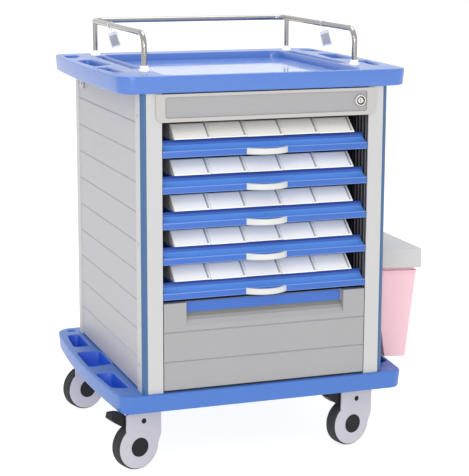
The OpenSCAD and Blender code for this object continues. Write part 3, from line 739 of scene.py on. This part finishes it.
def tray_handle(k):
    """A bowed bar handle that thickens towards its ends."""
    low, high = span(f"tray_{k}_handle")
    half, reach = high.x, FRONT - low.y
    radius = (half * half + reach * reach) / (2 * reach)
    middle_y = low.y + radius
    middle_z = (low.z + high.z) / 2
    deep, tall = GRIP_HALF_DEEP, GRIP_HALF_TALL
    section = fillet([(-deep, -tall), (deep, -tall), (deep, tall), (-deep, tall)], 2.6, 4)
    ends = math.asin(half / radius)
    bm = bmesh.new()
    rings = []
    for i in range(GRIP_STEPS + 1):
        a = ends * (2 * i / GRIP_STEPS - 1)
        swell = 1 + 0.12 * (abs(a) / ends) ** 3
        ring = []
        for p in section:
            out = radius - deep + p.x
            ring.append(at(out * math.sin(a), middle_y - out * math.cos(a), middle_z + p.y * swell))
        rings.append(ring)
    loft(bm, rings)
    piece(f"tray_{k}_grip", bm, (white,), f"tray_{k}", f"tray_{k}_handle", angle=50)


def slab_on_face(bm, u, v, w, material):
    """A slab on the slanted label face: ranges across, up the slope and out of it."""
    run, rise = FACE_TOP[0] - NOSE[0], FACE_TOP[1] - NOSE[1]
    length = math.hypot(run, rise)
    up = (run / length, rise / length)
    out = (-up[1], up[0])

    def point(a, b, c):
        return at(a, NOSE[0] + up[0] * b + out[0] * c, NOSE[1] + up[1] * b + out[1] * c)

    corners = [(u[0], w[0]), (u[1], w[0]), (u[1], w[1]), (u[0], w[1])]
    rings = [[point(a, b, c) for a, c in corners] for b in v]
    loft(bm, rings, material=material)


def prism(low, high, outline):
    """A solid between two places across, from an outline of (y, z) pairs."""
    bm = bmesh.new()
    loft(bm, [[at(x, y, z) for y, z in outline] for x in (low, high)])
    return bm


def box_template():
    """One open box with a slanted label holder, at the middle of the row."""
    half = BOX_WIDTH / 2
    front = FRONT + 24
    face_y, face_z = FACE_TOP
    outer = prism(-half, half, [
        (front, 5), (front, 33), NOSE, FACE_TOP, (face_y + 2.5, 63.6), (BOX_BACK, 63), (BOX_BACK, 5)
    ])
    inner_front, inner_back = front + BOX_END_WALL, BOX_BACK - BOX_END_WALL
    inner = prism(-half + BOX_WALL, half - BOX_WALL, [
        (inner_front, 6.6), (inner_front, 35.5), (face_y + 3, 66), (inner_back, 66), (inner_back, 6.6)
    ])
    bm = carve(outer, inner)
    wing = prism(-half - 0.3, -half + 1.2, [(face_y + 1, 34), NOSE, FACE_TOP, (face_y + 1, face_z)])
    label, rim, slot_shadow = 1, 2, 3
    for face in wing.faces:
        face.material_index = rim
    absorb(bm, wing)
    # The holder's foot and sides, the label in it, and a grey line down the label's right edge painted as the
    # shadow in a slot
    slab_on_face(bm, (-half + 0.2, half - 0.2), (0.2, 3.2), (-0.4, 1.5), rim)
    slab_on_face(bm, (-half + 0.2, -half + 2.6), (3.2, 45.0), (-0.4, 1.2), rim)
    slab_on_face(bm, (half - 2.8, half - 0.2), (3.2, 45.0), (-0.4, 1.2), rim)
    slab_on_face(bm, (-half + 3.0, half - 7.0), (3.6, 44.0), (-0.4, 0.5), label)
    # Painted shadow: a grey strip where the slot beside the right rim would be
    slab_on_face(bm, (half - 6.2, half - 5.0), (3.6, 44.4), (-0.4, 0.7), slot_shadow)
    mesh = bpy.data.meshes.new("box_template")
    bm.to_mesh(mesh)
    bm.free()
    return mesh


def tray_boxes(k, template):
    """A tray's row of boxes, each set down a little differently."""
    z0 = tray_level(k)
    bm = bmesh.new()
    for i in range(BOX_COUNT):
        start = len(bm.verts)
        bm.from_mesh(template)
        bm.verts.ensure_lookup_table()
        loose = math.sin(5.3 * k + 2.9 * i)
        shift = Vector((ROW_LEFT + (i + 0.5) * BOX_PITCH, 0.5 * loose - 0.4, z0 + 0.15 * (1 + loose))) * MM
        for vertex in bm.verts[start:]:
            vertex.co += shift
    materials = (box_clear, label_white, rim_white, recess_grey)
    piece(f"tray_{k}_bins", bm, materials, f"tray_{k}", f"tray_{k}_boxes", bevel=0.35)


# ---------- cabinet trim ----------

LEDGE_LOW, LEDGE_HIGH = 2, LIP - 5.4
LEDGE_REACH = 14
LINER_THICK = 2
RIB_WIDE, RIB_DEEP, RIB_PITCH = 2.6, 2.4, 16
LIT_RIBS = FRONT + 58
CHAMFER = 11


def liner(name, s):
    """Dark side wall with runner ledges and fine upright ribs, the front ones a lighter grey painted as the
    light that reaches near the opening.
    """
    low = span(name)[0]
    drawer_top = span("drawer_front")[1].z
    fascia_foot = span("lock_fascia")[0].z + 5
    bm = bmesh.new()

    def wall_block(x0, x1, y0, y1, z0, z1, material=0):
        left, right = sorted((s * x0, s * x1))
        block(bm, (left, y0, z0), (right, y1, z1), material)

    outside = OPEN_HALF + LINER_THICK
    wall_block(OPEN_HALF, outside, FRONT + 3.6, BACK - 24, low.z, fascia_foot)
    wall_block(OPEN_HALF, outside, FRONT + 42, BACK - 24, fascia_foot, BODY_TOP)
    rib_low, rib_high = drawer_top + 1, fascia_foot - 1
    y = FRONT + 9
    while y < BACK - 40:
        # Painted light: ribs near the front get the lighter grey
        material = 1 if y < LIT_RIBS else 0
        wall_block(OPEN_HALF - RIB_DEEP, OPEN_HALF + 0.1, y, y + RIB_WIDE, rib_low, rib_high, material)
        y += RIB_PITCH
    for k in TRAYS:
        z0 = tray_level(k)
        wall_block(OPEN_HALF - LEDGE_REACH, OPEN_HALF + 0.1, FRONT + 42, TRAY_BACK + 10, z0 + LEDGE_LOW,
                   z0 + LEDGE_HIGH)
    piece(name + "_ribs", bm, (dark, lit_rib_grey), "cabinet", name, bevel=0.3)


def corner_strips():
    """Bowed coloured strips let into the chamfered front corners; their blue is darkened as painted shade of
    the corner's recess.
    """
    bm = bmesh.new()
    turn = math.sqrt(0.5)
    half = CHAMFER * turn - 0.9
    outline = [(-half, -1.6), (half, -1.6)]
    for k in range(9):
        a = math.pi * (k / 8)
        outline.append((half * math.cos(a), 0.4 + 3.2 * math.sin(a) ** 0.8))
    middle = Vector((HALF - CHAMFER / 2, FRONT + CHAMFER / 2))
    for s in (-1, 1):
        rings = [[at(s * (middle.x + (u + v) * turn), middle.y + (u - v) * turn, z) for u, v in outline]
                 for z in (BASE_TOP + 0.2, BODY_TOP - 0.2)]
        loft(bm, rings)
    piece("corner_trim", bm, (shaded_strip_blue,), "cabinet", "corner_strips")


def lock_bezel():
    """Bright rim round the lock, with a near-black ring inside it as painted shade in the groove."""
    low, high = span("lock_barrel")
    centre = at((low.x + high.x) / 2, low.y, (low.z + high.z) / 2)
    radius = (high.x - low.x) / 2
    outward = Vector((0, -1, 0))
    rim = [(-1.2, -1.5), (2.4, -1.5), (2.4, 0.3), (1.5, 1.4), (0.3, 1.6), (-0.8, 1.2), (-1.2, 0.4)]
    # The groove ring is near-black: painted shade between the rim and the barrel
    groove = [(-3.4, -0.5), (-1.3, -0.5), (-1.3, 0.35), (-3.4, 0.35)]
    bm = bmesh.new()
    for material, ring in enumerate((rim, groove)):
        profile = [(radius + past, along) for past, along in ring]
        turned(bm, profile, centre, outward, closed=True, material=material)
    piece("lock_rim", bm, (chrome, hub_dark), "cabinet")


def fascia_inlay():
    """Darker panel let into the fascia's frame."""
    low = span("lock_fascia")[0]
    half, z0, z1 = 217.5, low.z + 8.4, low.z + 49.6
    outline = fillet([(-half, z0), (half, z0), (half, z1), (-half, z1)], 4.6, 5)
    bm = bmesh.new()
    rings = [[at(p.x + (by if p.x < 0 else -by), low.y + y, p.y) for p in outline]
             for y, by in ((2.95, 0), (2.5, 0), (2.25, 0.4))]
    loft(bm, rings)
    piece("fascia_panel", bm, (recess_grey,), "cabinet")


def grip_shade():
    """Painted shade: two darker bands at the head of the drawer grip's slope."""
    half = span("drawer_grip_band")[1].x + 3.6
    top = span("drawer_front")[1].z
    run = Vector((-13, -28)).normalized()
    bm = bmesh.new()
    for material, (start, end) in enumerate(((0.3, 9), (9, 16))):
        corners = [(start, -0.4), (end, -0.4), (end, 0.35), (start, 0.35)]
        rings = [[at(x, FRONT + 12 + run.x * t + run.y * out, top - 23 + run.y * t - run.x * out)
                  for t, out in corners] for x in (-half, half)]
        loft(bm, rings, material=material)
    piece("grip_shade", bm, (grip_shade_dark, grip_shade_mid), "drawer")


def side_clip():
    """Small dark catch high on the left side."""
    x = span("side_panel_left")[0].x
    bm = bmesh.new()
    block(bm, (x - 5, 192, 752), (x + 1, 218, 768))
    block(bm, (x - 7, 198, 756), (x - 4, 212, 764))
    piece("side_catch", bm, (zinc,), "cabinet", bevel=1.2)


# ---------- castors ----------

CASTOR_TURN = math.radians(16)
AXLE = Vector((-math.sin(CASTOR_TURN), math.cos(CASTOR_TURN), 0))
TREAD_HALF = 13.5
BOLT_BACK, BOLT_RISE = 11, 54.5


def castor_axle(c):
    """The middle of a castor's wheel, as a scene point."""
    low, high = span(f"castor_{c}_tyre")
    return at(*((low + high) / 2))


def castor_tyre(c):
    """A tyre with rounded shoulders and a fine groove round its tread."""
    edge = -TREAD_HALF
    shoulder = [(40, edge), (45.2, edge), (45.6, edge - 0.3), (47.4, edge - 0.1), (49.0, edge + 1.6),
                (49.8, edge + 4), (50, edge + 7)]
    groove = [(50, -1.4), (49.7, -1.0)]
    side = shoulder + groove
    profile = side + [(r, -along) for r, along in reversed(side)]
    bm = bmesh.new()
    turned(bm, profile, castor_axle(c), AXLE, closed=True, count=72)
    piece(f"tyre_{c}", bm, (tyre,), f"wheel_{c}", f"castor_{c}_tyre", angle=50)


def castor_bolts(c):
    """Dark bolt heads high on both faces of a castor's fork."""
    back = Vector((math.cos(CASTOR_TURN), math.sin(CASTOR_TURN), 0)) * BOLT_BACK * MM
    place = castor_axle(c) + back + Vector((0, 0, BOLT_RISE * MM))
    profile = [(5.6, 16.4), (5.6, 17.6), (4.6, 18.1), (2.6, 18.1), (2.4, 17.6), (0, 17.6), (0, 16.4)]
    bm = bmesh.new()
    for s in (-1, 1):
        turned(bm, profile, place, AXLE * s, count=24)
    piece(f"castor_{c}_bolts", bm, (hub_dark,), f"castor_{c}")


# ---------- studio ----------

FLOOR_HALF = 14


def area_light(name, place, target, size, watts):
    """A round light, its place and target measured from the cabinet's centre in metres."""
    data = bpy.data.lights.new(name, "AREA")
    data.shape = "DISK"
    data.size = size
    data.energy = watts
    lamp = bpy.data.objects.new(name, data)
    lamp.location = CENTRE + Vector(place)
    lamp.rotation_euler = (CENTRE + Vector(target) - lamp.location).to_track_quat("-Z", "Y").to_euler()
    bpy.context.scene.collection.objects.link(lamp)


def studio():
    """Pale floor, an even white sky and three soft lights."""
    mesh = bpy.data.meshes.new("floor")
    half = FLOOR_HALF
    corners = [(-half, -half, 0), (half, -half, 0), (half, half, 0), (-half, half, 0)]
    mesh.from_pydata(corners, [], [(0, 1, 2, 3)])
    floor = bpy.data.objects.new("floor", mesh)
    bpy.context.scene.collection.objects.link(floor)
    paper = surface("floor_paper", (0.34, 0.32, 0.28), 0.95, mottle=0.005, Emission_Color=(1, 1, 1, 1),
                    Emission_Strength=0.85, Specular_IOR_Level=0.1)
    mesh.materials.append(paper)
    world = bpy.data.worlds.new("studio")
    bpy.context.scene.world = world
    world.use_nodes = True
    sky = world.node_tree.nodes["Background"]
    sky.inputs["Color"].default_value = (1, 1, 1, 1)
    sky.inputs["Strength"].default_value = 1.0
    area_light("key", (-2.4, -2.6, 2.6), (0, 0, 0.5), size=1.6, watts=16)
    area_light("front", (-1.3, -4.2, 1.5), (0, -0.2, 0.45), size=1.4, watts=42)
    area_light("top", (0.4, 0.6, 3.4), (0, 0, 0.6), size=2.2, watts=30)


def camera():
    """The photograph's view of the object."""
    data = bpy.data.cameras.new("camera")
    data.sensor_fit = "HORIZONTAL"
    data.lens = CAMERA_LENS
    cam = bpy.data.objects.new("camera", data)
    forward = Vector((
        math.sin(CAMERA_TURN) * math.cos(CAMERA_DOWN),
        math.cos(CAMERA_TURN) * math.cos(CAMERA_DOWN),
        -math.sin(CAMERA_DOWN),
    ))
    right = Vector((math.cos(CAMERA_TURN), -math.sin(CAMERA_TURN), 0))
    up = right.cross(forward)
    rolled_right = math.cos(CAMERA_ROLL) * right + math.sin(CAMERA_ROLL) * up
    rolled_up = rolled_right.cross(forward)
    cam.matrix_world = Matrix((rolled_right, rolled_up, -forward)).transposed().to_4x4()
    cam.location = CENTRE + CAMERA_FROM_CENTRE
    bpy.context.scene.collection.objects.link(cam)
    bpy.context.scene.camera = cam


studio()
camera()
paint_frame()
soften(0.8, "lock_fascia", "drawer_front", "front_post_left", "front_post_right", "rear_posts",
       "drawer_grip_band")
soften(2.2, "bin_lid")
soften(2.5, "bin_body")
soften(0.9, *castor_nodes("housing", "wheel"), "castor_fl_pedal", "castor_fr_pedal")
base_moulding()
top_tray()
guard_rail()
rail_flanges()
tag("tag_left", -1, width=21, height=33, lean=-18)
tag("tag_right", 1, width=22, height=34, lean=-16)
liner("liner_left", -1)
liner("liner_right", 1)
fascia_inlay()
corner_strips()
lock_bezel()
grip_shade()
side_clip()
template = box_template()
for k in TRAYS:
    tray_shell(k)
    tray_handle(k)
    tray_boxes(k, template)
bpy.data.meshes.remove(template)
for c in CASTORS:
    castor_tyre(c)
    castor_bolts(c)

bpy.context.scene.view_settings.view_transform = "Standard"
